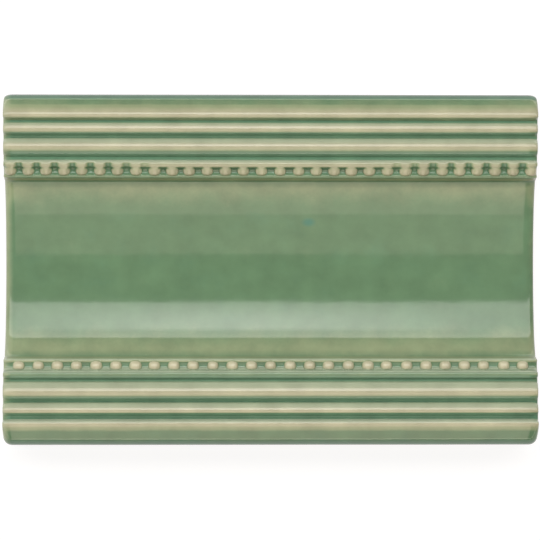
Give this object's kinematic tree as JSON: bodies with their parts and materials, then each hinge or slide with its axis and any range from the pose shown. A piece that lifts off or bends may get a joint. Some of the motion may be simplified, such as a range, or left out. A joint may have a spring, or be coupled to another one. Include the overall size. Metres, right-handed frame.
{
  "type": "cornice trim tile",
  "caption": "Glazed cornice trim tile with a wide cove between two bands of reeds and beads, flat keyed back for bedding on a wall.",
  "frame": {"origin": "middle of the back, on the plane of the back's lands", "axes": "+X along the tile, +Y towards its upper edge on the wall, +Z out of the glazed face; the tile lies on its back"},
  "size_m": [0.152, 0.1, 0.021],
  "materials": {
    "glazed_clay": "gloss"
  },
  "bodies": {
    "root": {"cornice_tile": "glazed_clay"}
  },
  "joints": []
}
